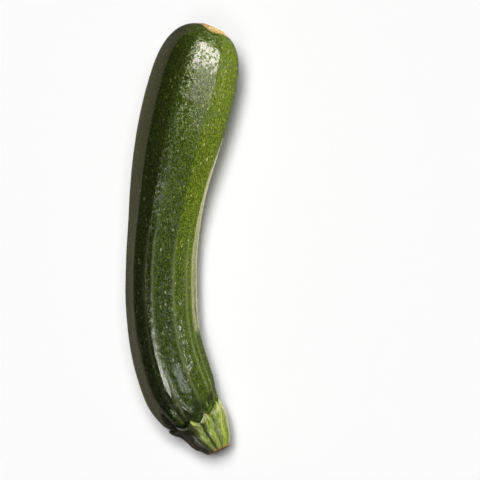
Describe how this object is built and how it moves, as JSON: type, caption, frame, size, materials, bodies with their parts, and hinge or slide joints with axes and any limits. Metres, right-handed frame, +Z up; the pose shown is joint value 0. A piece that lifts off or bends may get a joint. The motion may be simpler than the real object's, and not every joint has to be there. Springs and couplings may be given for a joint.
{
  "type": "courgette",
  "caption": "Whole courgette lying on its side: curved, softly ridged dark green fruit with a corky blossom scar and a short ribbed stem stub.",
  "frame": {"origin": "on the resting surface, under the middle of the bounding box", "axes": "+Z up, +Y along the length towards the blossom end, +X towards the hollow side of the curve"},
  "size_m": [0.057, 0.2164, 0.0427],
  "materials": {
    "skin": null,
    "stem": null
  },
  "bodies": {
    "root": {"fruit": "skin", "stem": "stem"}
  },
  "joints": []
}
